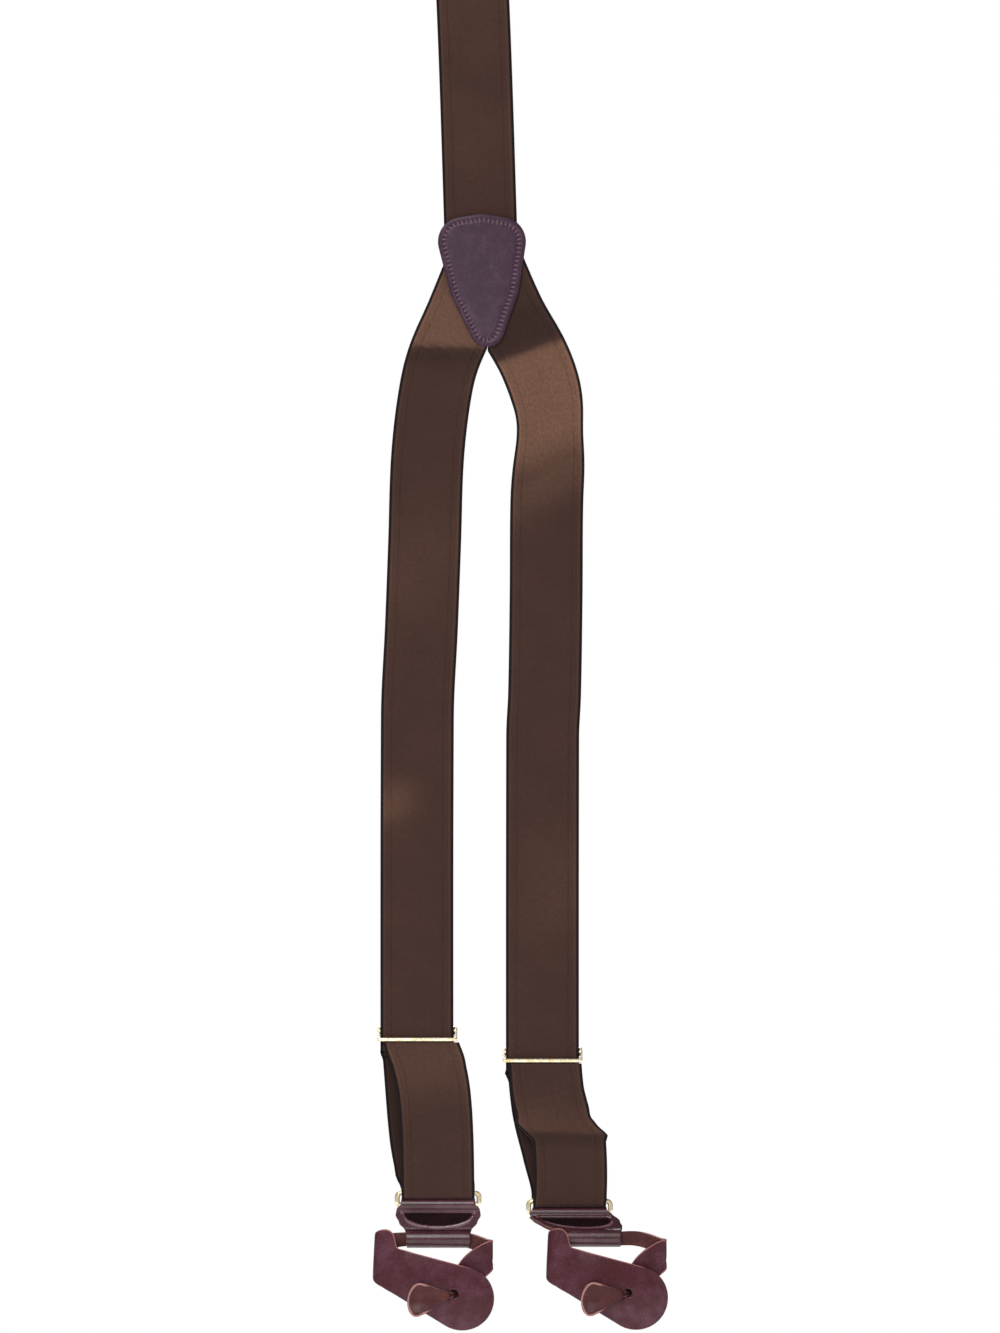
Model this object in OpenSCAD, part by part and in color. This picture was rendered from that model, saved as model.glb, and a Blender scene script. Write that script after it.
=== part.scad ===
// Suspenders with elastic straps, a leather crosspatch and leather button straps.
// They hang from a round bar: the bar's centre line is the X axis and +Z is up.
// The front of the suspenders faces -Y.

/* [Webbing] */
// Width of the elastic webbing
webbing_w = 38; // [30:1:45]
// Thickness of the elastic webbing
webbing_t = 1.6; // [1.2:0.1:1.8]

/* [Hanging] */
// Radius of the bar that the back strap hangs over
bar_r = 8; // [7:0.5:9]
// Height of the bar above the crosspatch's top edge
patch_drop = 250; // [220:5:300]
// How far the crosspatch hangs to the right of the bar's middle
patch_x = 9.5; // [0:0.5:12]

/* [Crosspatch] */
// Thickness of the front leather
leather_t = 2; // [1.6:0.1:2.4]
// Thickness of the lining leather
lining_t = 1.6; // [1.2:0.1:2]
// Distance from the leather's edge to the middle of a stitch
stitch_inset = 3.2; // [2.6:0.1:4]
// Stitches round the crosspatch
patch_stitches = 72; // [50:2:90]

/* [Adjusters] */
// Height of the left adjuster, below the crosspatch's top edge
left_adjuster_drop = 429.5; // [420:0.5:435]
// Height of the right adjuster, below the crosspatch's top edge
right_adjuster_drop = 440.5; // [435:0.5:445]
// Thickness of the adjuster's brass bars
adjuster_bar = 1.8; // [1.6:0.1:1.9]
// Tilt of the adjuster, its rear bar up
adjuster_tilt = 25; // [15:1:30]

/* [Rings] */
// Radius of the brass wire
wire_r = 1.3; // [1.1:0.1:1.4]
// Distance between the ring's upper and lower bars
ring_pitch = 6.4; // [6.3:0.1:7]
// Height of the left ring's upper bar, below the crosspatch's top edge
left_ring_drop = 509.6; // [505:0.1:512]
// Height of the right ring's upper bar, below the crosspatch's top edge
right_ring_drop = 513.9; // [510:0.1:516]
// Height of the back ring's upper bar, below the display bar
back_ring_drop = 38; // [36:1:50]

/* [Leather ends] */
// Distance from the ring's lower bar to the middle of the rolled tunnel
holder_drop = 17.5; // [16:0.5:20]
// Outer radius of the rolled tunnel
roll_r = 4.7; // [4.5:0.1:5]
// Thickness of the button strap's leather
tab_t = 2; // [1.8:0.1:2]
// How far forward the right holder leans
right_holder_lean = 48; // [0:1:50]

/* [Hidden] */

webbing_brown = "#462f2a";
leather_plum = "#4f3e4b";
brass_pale = "#d8c58c";
thread_plum = "#6a4f5c";

joint_gap = 0.4;                       // between webbing pieces of different bodies
ply_overlap = 0.2;                     // between the parts of one bent piece
strap_rear = -bar_r;                   // rear face of the hanging straps
strap_front = strap_rear - webbing_t;

// Crosspatch: circles whose common outline is the leather's edge, as [x, z, radius].
patch_corners = [[-9.9, -14.5, 13], [0, -20, 20], [9.9, -14.5, 13], [2.6, -60.2, 9]];
patch_seam_x = 3;                      // where the two front straps meet under the leather
hinge_drop = 75;                       // where the front straps start to hang free
upper_end = 120;                       // lower end of the stitched-down, stiff stretch

// Middle lines of the front straps below the crosspatch's top edge, as [z, x].
left_straight_x = -33.6;
right_straight_x = 31.6;
left_line = [[-20, 3], [-52, -10], [-76, -20.3], [-97, -25], [-128, -28.4], [-170, -29.8],
             [-215, -31.5], [-262, left_straight_x], [-600, left_straight_x]];
right_line = [[-20, 0], [-52, 14], [-76, 27.3], [-97, 34.2], [-118, 35.4], [-149, 33.8],
              [-200, 33.4], [-250, 32.6], [-272, right_straight_x], [-600, right_straight_x]];
back_line = [[-20, 0], [-60, 0.3], [-140, 4.8], [-250, patch_x - 0.9], [-290, patch_x]];
left_straight_drop = 262;
right_straight_drop = 272;

// Middle lines of the loops below the adjusters, in the same frame.
left_ring_x = -22.8;
right_ring_x = 45.6;
left_front_line = [[-425, -31.5], [-440, -29], [-455, -26.2], [-480, -23.8], [-515, left_ring_x]];
left_back_line = [[-425, left_straight_x], [-460, -30.5], [-490, -25.5], [-515, left_ring_x]];
right_front_line = [[-436, 33], [-455, 34.5], [-472, 38], [-484, 44], [-500, 45.6], [-520, 45.6]];
right_back_line = [[-436, right_straight_x], [-465, 34.5], [-490, 41.5], [-520, right_ring_x]];

// Adjuster, seen from the side. Its front bar crosses in front of the strap.
slide_gap = 0.5;                       // between the strap and the bars it slides past
bar_reach = adjuster_bar * (cos(adjuster_tilt) + sin(adjuster_tilt)) / 2;
front_bar_y = strap_front - slide_gap - bar_reach;
end_fold_r = adjuster_bar * 0.5 * sqrt(2) + 0.1;
middle_bar_y = strap_rear + slide_gap + webbing_t + end_fold_r;
rear_bar_y = middle_bar_y + end_fold_r + webbing_t + 0.3 + bar_reach;
middle_bar_s = (middle_bar_y - front_bar_y) / cos(adjuster_tilt);
rear_bar_s = (rear_bar_y - front_bar_y) / cos(adjuster_tilt);
middle_bar_z = middle_bar_s * sin(adjuster_tilt);
adjuster_in_w = webbing_w + 2;
adjuster_out_w = adjuster_in_w + 2 * adjuster_bar;
loop_front_rear = strap_front - slide_gap;     // rear face of the loop's front layer
end_rear = strap_rear + slide_gap + 2 * webbing_t;
end_drop = 9;                          // lower end of the sewn webbing end, below the front bar
above_adjuster = 12;                   // lower end of the strap's firm stretch, above the front bar

// Rings, and the webbing fold that each hangs from.
ring_y = (loop_front_rear + end_rear - webbing_t) / 2;
ring_in_w = webbing_w + 2;
ring_corner_r = 2.2;
fold_r = wire_r + 0.2;
fold_rise = 10;                        // height of the fold's two plies above the ring's bar
ply_spread = ring_y - loop_front_rear;         // from the ring's plane to each ply
back_ring_y = bar_r + webbing_t + fold_r;
tail_end_h = 16;                       // height of the tail's sewn end above its ring

// Leather holder: two plies round the ring's lower bar, sewn together above a round tunnel.
holder_t = 1.4;
roll_half_w = 16.5;
roll_wall = 1.1;
row_drop = 3.4;                        // straight row of stitches, below the ring's lower bar
smile_half_w = 18;
smile_sag = 7.6;
right_roll_shift = 9.9;                // how far right the right roll has slumped

// Button strap, from the middle of the tunnel. Circles are [x, z, radius].
strip_half_h = 3.2;
front_tab = [[22.5, -30.5, 16.5], [-10, -17, 12.3]];
back_tab = [[34.5, -6.5, 5.7], [34, -13.5, 6], [17, -28, 4.5], [22.5, -13.5, 4]];
tongue = [[2.7, -31, 8.2], [17, -28.5, 1.6]];
slit_end = [-3, -31.6];
eye = [18.4, -28, 2.3];
front_tab_y = -roll_r - 0.5 - tab_t / 2;
back_tab_y = -tab_t - 0.3;
tongue_y = front_tab_y - tab_t - 0.2;
tab_foot = -24;                        // lower end of the left bend
left_bend_x = -18.6;
right_bend_x = 36;
left_strap_shift = -10;                // where each button strap sits, from its ring's middle
right_strap_shift = 11.7;
back_strap_shift = -4;

// ---- Outlines ----

// Angle of the tangent from circle a to the next circle b, going clockwise round the outline.
function tangent_angle(a, b) =
    let (d = [b.x - a.x, b.y - a.y])
    atan2(d.y, d.x) + acos((a.z - b.z) / norm(d));

// Outline round a clockwise list of circles, each made smaller by inset.
function round_outline(circles, inset = 0, step = 9) = [
    for (i = [0:len(circles) - 1])
        let (n = len(circles), here = circles[i],
             from = tangent_angle(circles[(i + n - 1) % n], here),
             to = tangent_angle(here, circles[(i + 1) % n]),
             sweep = (from - to) % 360, turn = sweep < 0 ? sweep + 360 : sweep,
             parts = ceil(turn / step))
        for (k = [0:parts])
            let (a = from - turn * k / parts)
            [here.x + (here.z - inset) * cos(a), here.y + (here.z - inset) * sin(a)]
];

// Length of a closed outline up to its point i.
function length_to(p, i) = i == 0 ? 0 : length_to(p, i - 1) + norm(p[i % len(p)] - p[i - 1]);

// Place and direction at a distance along a closed outline, as [x, z, angle].
function place_at(p, lengths, s) =
    let (i = max([for (k = [0:len(p) - 1]) if (lengths[k] <= s) k]),
         a = p[i], b = p[(i + 1) % len(p)], d = b - a,
         f = (s - lengths[i]) / max(norm(d), 0.001))
    [a.x + f * d.x, a.y + f * d.y, atan2(d.y, d.x)];

// Slope of a middle line at its point i, in x per z.
function slope(line, i) =
    let (lo = max(i - 1, 0), hi = min(i + 1, len(line) - 1))
    (line[hi][1] - line[lo][1]) / (line[hi][0] - line[lo][0]);

// Where a middle line is at height z, smoothed between its points.
function line_x(line, z) =
    let (i = max([0, for (k = [0:len(line) - 2]) if (line[k][0] >= z) k]),
         a = line[i], b = line[i + 1], h = b[0] - a[0], f = (z - a[0]) / h)
    a[1] * (1 + 2 * f) * pow(1 - f, 2) + slope(line, i) * h * f * pow(1 - f, 2)
    + b[1] * f * f * (3 - 2 * f) + slope(line, i + 1) * h * f * f * (f - 1);

// A side profile turned to face the other way, its points still in order.
function mirrored(p) = [for (i = [len(p) - 1:-1:0]) [-p[i][0], p[i][1]]];

// Half the webbing's width measured level, which grows where the strap leans.
function half_w(line, z) =
    webbing_w / 2 * sqrt(1 + pow(line_x(line, z + 1) - line_x(line, z - 1), 2) / 4);

// ---- Placing ----

// An outline in X and Z made into a sheet whose rear face is at y.
module upright(y, t) translate([0, y, 0]) rotate([90, 0, 0]) linear_extrude(t) children();

// A side profile in Y and Z made into a piece of width w centred on x.
module across(w, x = 0) translate([x - w / 2, 0, 0]) rotate([90, 0, 90]) linear_extrude(w) children();

module at_patch() translate([patch_x, 0, -patch_drop]) children();

// A straight or curved run of webbing between two heights, kept between x = low and x = high.
module webbing_run(line, top, bottom, rear, low = -200, high = 200) {
    parts = ceil((top - bottom) / 8);
    heights = [for (k = [0:parts]) top + (bottom - top) * k / parts];
    function keep(x) = min(max(x, low), high);
    right_edge = [for (z = heights) [keep(line_x(line, z) + half_w(line, z)), z]];
    left_edge = [for (k = [parts:-1:0])
        let (z = heights[k]) [keep(line_x(line, z) - half_w(line, z)), z]];
    color(webbing_brown)
        upright(rear, webbing_t) polygon(concat(right_edge, left_edge));
}

// Half of a ring in a side profile, its open side down or up, reaching a little into the plies.
module half_ring(r, t, up = true) {
    intersection() {
        difference() {
            circle(r + t, $fn = 64);
            circle(r, $fn = 64);
        }
        translate([-r - t, up ? -ply_overlap : -r - t])
            square([2 * (r + t), r + t + ply_overlap]);
    }
}

// ---- Back strap ----

module back_strap_over_bar() {
    color(webbing_brown) across(webbing_w) {
        half_ring(bar_r, webbing_t);
        translate([-bar_r - webbing_t, -20])
            square([webbing_t, 20]);
        translate([bar_r, -20])
            square([webbing_t, 20]);
    }
}

module back_strap_tail() {
    y = back_ring_y;
    color(webbing_brown) across(webbing_w) {
        translate([y, -back_ring_drop])
            half_ring(fold_r, webbing_t, false);
        translate([bar_r, -back_ring_drop])
            square([webbing_t, back_ring_drop - 20]);
        // The end comes up behind and is sewn against the strap.
        translate([y - fold_r, -back_ring_drop])
            polygon([[2 * fold_r, 0], [2 * fold_r + webbing_t, 0], [2 * fold_r + webbing_t, 2],
                     [webbing_t, 7.5], [webbing_t, tail_end_h], [-ply_overlap, tail_end_h],
                     [-ply_overlap, 7.5], [2 * fold_r, 2]]);
    }
}

module back_strap_tail_stitching() {
    color(thread_plum)
        for (row = [8.5, 14], k = [-8:8])
            translate([k * 2.1 - 0.65, back_ring_y - fold_r + webbing_t, row - back_ring_drop])
                cube([1.3, 0.3, 0.6]);
}

module back_strap_front_run()
    webbing_run(back_line, -20 - joint_gap, 8 - patch_drop + joint_gap, strap_rear);

module back_strap_end()
    webbing_run(back_line, 8 - patch_drop, -24 - patch_drop, strap_rear);

// ---- Crosspatch ----

module crosspatch_front()
    color(leather_plum) at_patch() upright(strap_front, leather_t)
        polygon(round_outline(patch_corners));

module crosspatch_lining()
    color(leather_plum) at_patch() upright(strap_rear + lining_t, lining_t)
        polygon(round_outline(patch_corners, 0.6));

module crosspatch_stitching() {
    path = round_outline(patch_corners, stitch_inset);
    lengths = [for (i = [0:len(path)]) length_to(path, i)];
    color(thread_plum) at_patch()
        for (k = [0:patch_stitches - 1]) {
            place = place_at(path, lengths, lengths[len(path)] * (k + 0.5) / patch_stitches);
            translate([place[0], strap_front - leather_t, place[1]])
                rotate([0, 90 - place[2], 0])
                    translate([-1.3, -0.3, -0.35])
                        cube([2.6, 0.3, 0.7]);
        }
}

// ---- Front straps ----

module strap_top(line, low, high)
    at_patch() webbing_run(line, -24 - joint_gap, joint_gap - hinge_drop, strap_rear, low, high);

module strap_upper(line)
    at_patch() webbing_run(line, -joint_gap - hinge_drop, -upper_end, strap_rear);

module strap_middle(line, bottom)
    at_patch() webbing_run(line, -upper_end - joint_gap, joint_gap - bottom, strap_rear);

module strap_lower(line, top, drop)
    at_patch() webbing_run(line, -top, above_adjuster - drop, strap_rear);

module strap_in_adjuster(line, drop)
    at_patch() webbing_run(line, above_adjuster - joint_gap - drop, -4 - drop, strap_rear);

// ---- Adjusters ----

// Flat three-bar frame, laid back from its front bar.
module adjuster_frame(x, drop) {
    half = adjuster_bar / 2;
    color(brass_pale) at_patch()
        translate([x, front_bar_y, -drop]) rotate([adjuster_tilt, 0, 0])
            translate([0, 0, -half]) linear_extrude(adjuster_bar) difference() {
                translate([-adjuster_out_w / 2, -half])
                    square([adjuster_out_w, rear_bar_s + adjuster_bar]);
                translate([-adjuster_in_w / 2, half])
                    square([adjuster_in_w, middle_bar_s - adjuster_bar]);
                translate([-adjuster_in_w / 2, middle_bar_s + half])
                    square([adjuster_in_w, rear_bar_s - middle_bar_s - adjuster_bar]);
            }
}

// The webbing's end: up behind the middle bar, over it, down in front and sewn to itself.
module adjuster_strap_end(x, drop) {
    ply_front = middle_bar_y - end_fold_r - webbing_t;
    ply_rear = middle_bar_y + end_fold_r;
    color(webbing_brown) at_patch() translate([0, 0, -drop]) across(webbing_w, x) {
        translate([middle_bar_y, middle_bar_z])
            half_ring(end_fold_r, webbing_t);
        translate([ply_front, -end_drop])
            square([webbing_t, end_drop + middle_bar_z]);
        polygon([[ply_rear, middle_bar_z], [ply_rear, middle_bar_z - 2],
                 [end_rear - webbing_t - ply_overlap, -4.5],
                 [end_rear - webbing_t - ply_overlap, -end_drop], [end_rear, -end_drop],
                 [end_rear, -5.5], [ply_rear + webbing_t, middle_bar_z - 2.5],
                 [ply_rear + webbing_t, middle_bar_z]]);
    }
}

module adjuster_stitching(x, drop) {
    color(thread_plum) at_patch()
        for (k = [-8:8])
            translate([x + k * 2.1 - 0.65, end_rear, -drop - end_drop + 1])
                cube([1.3, 0.3, 0.6]);
}

// ---- Loops below the adjusters ----

module loop_front(line, drop, ring_drop)
    at_patch() webbing_run(line, -drop - bar_reach - joint_gap,
                           fold_rise + joint_gap - ring_drop, loop_front_rear);

module loop_back(line, drop, ring_drop)
    at_patch() webbing_run(line, -drop - end_drop - joint_gap,
                           fold_rise + joint_gap - ring_drop, end_rear);

// The fold that carries the ring, its plies spreading to the loop's two layers.
module loop_fold(x, ring_drop) {
    ply = [[fold_r, 0], [fold_r + webbing_t, 0], [ply_spread + webbing_t, 6],
           [ply_spread + webbing_t, fold_rise], [ply_spread, fold_rise], [ply_spread, 6]];
    color(webbing_brown) at_patch() translate([0, 0, -ring_drop]) across(webbing_w, x)
        translate([ring_y, 0]) {
            half_ring(fold_r, webbing_t, false);
            polygon(ply);
            polygon(mirrored(ply));
        }
}

// ---- Rings ----

// Rectangular ring of round wire, hanging from the middle of its upper bar.
module ring() {
    side_x = ring_in_w / 2 + wire_r;
    r = ring_corner_r;
    module quarter() {
        rotate([0, 90, 0])
            cylinder(h = side_x - r, r = wire_r, $fn = 48);
        translate([side_x - r, 0, -r]) rotate([90, 0, 0])
            rotate_extrude(angle = 90, $fn = 48)
                translate([r, 0]) circle(wire_r, $fn = 48);
        translate([side_x, 0, -ring_pitch / 2])
            cylinder(h = ring_pitch / 2 - r, r = wire_r, $fn = 48);
    }
    color(brass_pale)
        for (s = [0, 1], flip = [0, 1])
            translate([0, 0, -flip * ring_pitch]) mirror([s, 0, 0]) mirror([0, 0, flip]) quarter();
}

// ---- Leather holders, from the ring's lower bar ----

module holder_profile() {
    foot = roll_r - roll_wall / 2 - holder_drop;
    ply = [[fold_r, 0], [fold_r, -1.2], [-ply_overlap, -3], [-ply_overlap, foot],
           [holder_t, foot], [holder_t, -3], [fold_r + holder_t, -1.2], [fold_r + holder_t, 0]];
    half_ring(fold_r, holder_t);
    polygon(ply);
    polygon(mirrored(ply));
    translate([0, -holder_drop]) difference() {
        circle(roll_r, $fn = 64);
        circle(roll_r - roll_wall, $fn = 64);
    }
}

// The lower part can slump sideways by shift, as soft leather does.
module holder(shift = 0) {
    wrap = webbing_w / 2 + 0.4;
    outline = [[wrap, 5], [wrap, -1], [22.3, -1], [22.3, -5.5], [20.4, -9.2],
               [roll_half_w + 1, -13], [roll_half_w, -13], [roll_half_w, -30]];
    function slumped(x, z) = x + shift * min(1, max(0, (-1 - z) / 12));
    color(leather_plum) intersection() {
        across(70) holder_profile();
        upright(20, 40) polygon(concat(
            [for (p = outline) [slumped(-p[0], p[1]), p[1]]],
            [for (i = [len(outline) - 1:-1:0])
                let (p = outline[i]) [slumped(p[0], p[1]), p[1]]]));
    }
}

// One straight row and one curved row, on the holder's front.
module holder_stitching(shift = 0) {
    function slump(z) = shift * (-1 - z) / 12;
    module stitch(x, z, a) translate([x + slump(z), -holder_t, z]) rotate([0, a, 0])
        translate([-0.7, -0.3, -0.3]) cube([1.4, 0.3, 0.6]);
    color(thread_plum) {
        for (k = [-7:7])
            stitch(k * 2.2, -row_drop, 0);
        for (k = [-7:7])
            let (f = k / 7.5, x = f * smile_half_w)
            stitch(x, -row_drop - 0.8 - smile_sag * (1 - f * f),
                   -atan(2 * smile_sag * f / smile_half_w));
    }
}

// ---- Button straps, from the middle of the tunnel ----

module strap_layer(y, circles)
    upright(y + tab_t / 2, tab_t) polygon(round_outline(circles));

// A bend about an upright axis, joining the layers at y = 0 and y = far.
module bend(x, far, bottom, top, side) {
    r = -far / 2;
    translate([x, far / 2, bottom]) linear_extrude(top - bottom) intersection() {
        difference() {
            circle(r + tab_t / 2, $fn = 48);
            circle(max(r - tab_t / 2, 0.1), $fn = 48);
        }
        translate([side > 0 ? 0 : -r - tab_t, -r - tab_t])
            square([r + tab_t, 2 * (r + tab_t)]);
    }
}

module button_strap() {
    color(leather_plum) {
        // Strip through the tunnel.
        upright(tab_t / 2, tab_t)
            polygon([[left_bend_x, strip_half_h], [26, strip_half_h], [right_bend_x, -1.5],
                     [right_bend_x, -9.5], [26, -strip_half_h], [left_bend_x, -strip_half_h]]);
        bend(left_bend_x, front_tab_y, tab_foot, strip_half_h, -1);
        bend(right_bend_x, back_tab_y, -9.5, -1.5, 1);
        // Front tab with its keyhole buttonhole.
        difference() {
            union() {
                strap_layer(front_tab_y, front_tab);
                upright(front_tab_y + tab_t / 2, tab_t)
                    polygon([[left_bend_x, strip_half_h], [left_bend_x, tab_foot],
                             [-10, tab_foot], [-10, -5]]);
            }
            upright(front_tab_y + tab_t, 2 * tab_t) buttonhole();
        }
        strap_layer(back_tab_y, back_tab);
        // The back tab's tip comes through the front tab's buttonhole.
        strap_layer(tongue_y, tongue);
        upright(back_tab_y, back_tab_y - tongue_y)
            translate([eye.x - 5.5, eye.y - 1.3]) square([3.5, 1.4]);
    }
}

module buttonhole() {
    translate([eye.x, eye.y]) circle(eye.z, $fn = 48);
    d = [eye.x, eye.y] - slit_end;
    translate(slit_end) rotate(atan2(d.y, d.x)) translate([0, -0.9])
        square([norm(d), 1.8]);
}

// ---- Leather end hanging from a ring: where each piece goes ----

module at_left_ring() at_patch() translate([left_ring_x, ring_y, -left_ring_drop]) children();
module at_right_ring() at_patch() translate([right_ring_x, ring_y, -right_ring_drop]) children();
module at_back_ring() translate([0, back_ring_y, -back_ring_drop]) rotate([0, 0, 180]) children();
module from_lower_bar(lean = 0) translate([0, 0, -ring_pitch]) rotate([-lean, 0, 0]) children();
module from_tunnel(lean = 0, shift = 0)
    translate([shift, -holder_drop * sin(lean), -ring_pitch - holder_drop * cos(lean)]) children();

module back_ring() at_back_ring() ring();
module back_holder() at_back_ring() from_lower_bar() holder();
module back_holder_stitching() at_back_ring() from_lower_bar() holder_stitching();
module back_button_strap() at_back_ring() from_tunnel(0, back_strap_shift) button_strap();

back_strap_over_bar();
back_strap_tail();
back_strap_tail_stitching();
back_ring();
back_holder();
back_holder_stitching();
back_button_strap();
back_strap_front_run();
back_strap_end();
crosspatch_front();
crosspatch_lining();
crosspatch_stitching();

strap_top(left_line, -200, patch_seam_x - 0.2);  // left_strap_top
strap_upper(left_line);  // left_strap_upper
strap_middle(left_line, left_straight_drop);  // left_strap_middle
strap_lower(left_line, left_straight_drop, left_adjuster_drop);  // left_strap_lower
strap_in_adjuster(left_line, left_adjuster_drop);  // left_strap_in_adjuster
adjuster_frame(left_straight_x, left_adjuster_drop);  // left_adjuster_frame
adjuster_strap_end(left_straight_x, left_adjuster_drop);  // left_adjuster_strap_end
adjuster_stitching(left_straight_x, left_adjuster_drop);  // left_adjuster_stitching
loop_front(left_front_line, left_adjuster_drop, left_ring_drop);  // left_loop_front
loop_back(left_back_line, left_adjuster_drop, left_ring_drop);  // left_loop_back
loop_fold(left_ring_x, left_ring_drop);  // left_loop_fold
at_left_ring() ring();  // left_ring
at_left_ring() from_lower_bar() holder();  // left_holder
at_left_ring() from_lower_bar() holder_stitching();  // left_holder_stitching
at_left_ring() from_tunnel(0, left_strap_shift) button_strap();  // left_button_strap

strap_top(right_line, patch_seam_x, 200);  // right_strap_top
strap_upper(right_line);  // right_strap_upper
strap_middle(right_line, right_straight_drop);  // right_strap_middle
strap_lower(right_line, right_straight_drop, right_adjuster_drop);  // right_strap_lower
strap_in_adjuster(right_line, right_adjuster_drop);  // right_strap_in_adjuster
adjuster_frame(right_straight_x, right_adjuster_drop);  // right_adjuster_frame
adjuster_strap_end(right_straight_x, right_adjuster_drop);  // right_adjuster_strap_end
adjuster_stitching(right_straight_x, right_adjuster_drop);  // right_adjuster_stitching
loop_front(right_front_line, right_adjuster_drop, right_ring_drop);  // right_loop_front
loop_back(right_back_line, right_adjuster_drop, right_ring_drop);  // right_loop_back
loop_fold(right_ring_x, right_ring_drop);  // right_loop_fold
at_right_ring() ring();  // right_ring
at_right_ring() from_lower_bar(right_holder_lean) holder(right_roll_shift);  // right_holder
at_right_ring() from_lower_bar(right_holder_lean) holder_stitching(right_roll_shift);  // right_holder_stitching
at_right_ring() from_tunnel(right_holder_lean, right_strap_shift) button_strap();  // right_button_strap
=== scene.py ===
# %% [markdown]
# # Dress suspenders
# Elastic webbing straps meet at a leather crosspatch. Each of the three ends carries a brass
# ring, a sewn leather holder and a leather button strap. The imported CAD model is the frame:
# it says where every piece sits and how it moves. Here each piece gets its finished surface.

# %% Load the frame
import math

import bmesh
import bpy
from mathutils import Matrix, Vector

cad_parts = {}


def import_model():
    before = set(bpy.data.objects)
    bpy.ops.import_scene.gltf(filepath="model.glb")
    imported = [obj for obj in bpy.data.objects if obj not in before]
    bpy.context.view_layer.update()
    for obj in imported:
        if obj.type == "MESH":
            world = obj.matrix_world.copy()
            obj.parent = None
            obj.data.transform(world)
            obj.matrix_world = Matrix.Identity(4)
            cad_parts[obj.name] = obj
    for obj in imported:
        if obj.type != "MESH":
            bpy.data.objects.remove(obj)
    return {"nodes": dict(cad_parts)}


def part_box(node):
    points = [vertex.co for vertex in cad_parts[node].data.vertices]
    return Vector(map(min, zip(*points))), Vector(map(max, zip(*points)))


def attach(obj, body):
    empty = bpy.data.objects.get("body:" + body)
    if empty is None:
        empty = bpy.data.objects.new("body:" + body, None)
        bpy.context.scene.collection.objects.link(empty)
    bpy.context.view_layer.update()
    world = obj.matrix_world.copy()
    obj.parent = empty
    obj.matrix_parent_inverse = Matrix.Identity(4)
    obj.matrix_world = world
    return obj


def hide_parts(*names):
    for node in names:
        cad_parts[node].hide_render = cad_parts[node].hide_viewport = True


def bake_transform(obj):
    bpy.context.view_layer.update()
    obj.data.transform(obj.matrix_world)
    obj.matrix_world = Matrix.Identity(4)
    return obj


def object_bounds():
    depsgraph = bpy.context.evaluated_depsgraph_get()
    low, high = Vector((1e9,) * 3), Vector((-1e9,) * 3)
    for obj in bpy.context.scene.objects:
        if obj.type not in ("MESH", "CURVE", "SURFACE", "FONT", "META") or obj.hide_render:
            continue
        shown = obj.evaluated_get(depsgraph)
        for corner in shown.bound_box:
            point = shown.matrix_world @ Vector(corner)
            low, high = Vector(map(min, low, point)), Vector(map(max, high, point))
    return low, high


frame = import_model()
cad_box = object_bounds()
MM = 0.001
print("CAD box", [[round(v, 4) for v in corner] for corner in cad_box])

# %% [markdown]
# The crosspatch is the natural datum of a pair of suspenders, because every strap is measured
# from it. The whole script works in millimetres from the middle of the patch's top edge, with
# y left as it is, and turns them into metres in one place.

# %% A datum at the crosspatch
patch_low, patch_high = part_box("crosspatch_front")
PATCH = Vector(((patch_low[0] + patch_high[0]) / 2, 0, patch_high[2]))
front_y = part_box("left_strap_upper")[0][1] / MM
webbing_t = (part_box("left_strap_upper")[1][1] / MM) - front_y
strap_y = front_y + webbing_t / 2
webbing_w = 38.0


def world(x, y, z):
    """A place in millimetres from the patch's top edge, in metres in the frame."""
    return PATCH + Vector((x, y, z)) * MM


def ring_centre(side):
    """Middle of a ring's upper bar, in metres."""
    low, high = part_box(side + "_ring")
    return Vector(((low[0] + high[0]) / 2, (low[1] + high[1]) / 2, high[2] - 1.3 * MM))


def ring_place(side):
    """The same place as a matrix, turned to face the back for the back ring."""
    turn = math.pi if side == "back" else 0.0
    return Matrix.Translation(ring_centre(side)) @ Matrix.Rotation(turn, 4, "Z")


print("datum", [round(v, 4) for v in PATCH], "strap middle y", round(strap_y, 2))

# %% [markdown]
# A long lens from the front shows the straps almost without perspective. The light is what a
# small product studio would use: a big soft light above and in front, a dimmer one on the
# other side, and a bright surround. The camera sees a pure white surround, while the surfaces
# are lit by a dimmer one, so dark brown webbing keeps its depth.

# %% Camera, lights and floor
scene = bpy.context.scene
scene.view_settings.view_transform = "Standard"

camera_data = bpy.data.cameras.new("camera")
camera_data.sensor_fit = "VERTICAL"
camera_data.sensor_height = 36.0
view_height = 0.6938
camera_distance = 4.0
view_middle = world(9.4, 0, -235.5)
camera_data.lens = camera_data.sensor_height * (camera_distance + front_y * MM) / view_height
camera_data.clip_end = 20.0
camera = bpy.data.objects.new("camera", camera_data)
camera.location = view_middle - Vector((0, camera_distance, 0))
camera.rotation_euler = (math.radians(90), 0, 0)
scene.collection.objects.link(camera)
scene.camera = camera


def soft_light(name, place, aim, size, watts):
    """A square area light that looks at a point."""
    data = bpy.data.lights.new(name, "AREA")
    data.size = size
    data.energy = watts
    light = bpy.data.objects.new(name, data)
    light.location = place
    light.rotation_euler = (Vector(aim) - Vector(place)).to_track_quat("-Z", "Y").to_euler()
    scene.collection.objects.link(light)


middle = (0.02, 0, -0.48)
soft_light("key_light", (-0.5, -1.5, 0.75), middle, 0.9, 21)
soft_light("fill_light", (1.3, -1.3, -0.2), middle, 1.0, 4.5)
soft_light("end_light", (-0.15, -0.8, -0.35), (0.02, 0, -0.8), 0.35, 2.0)
soft_light("back_light", (-0.3, 1.6, 0.5), middle, 1.0, 14)

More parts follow.
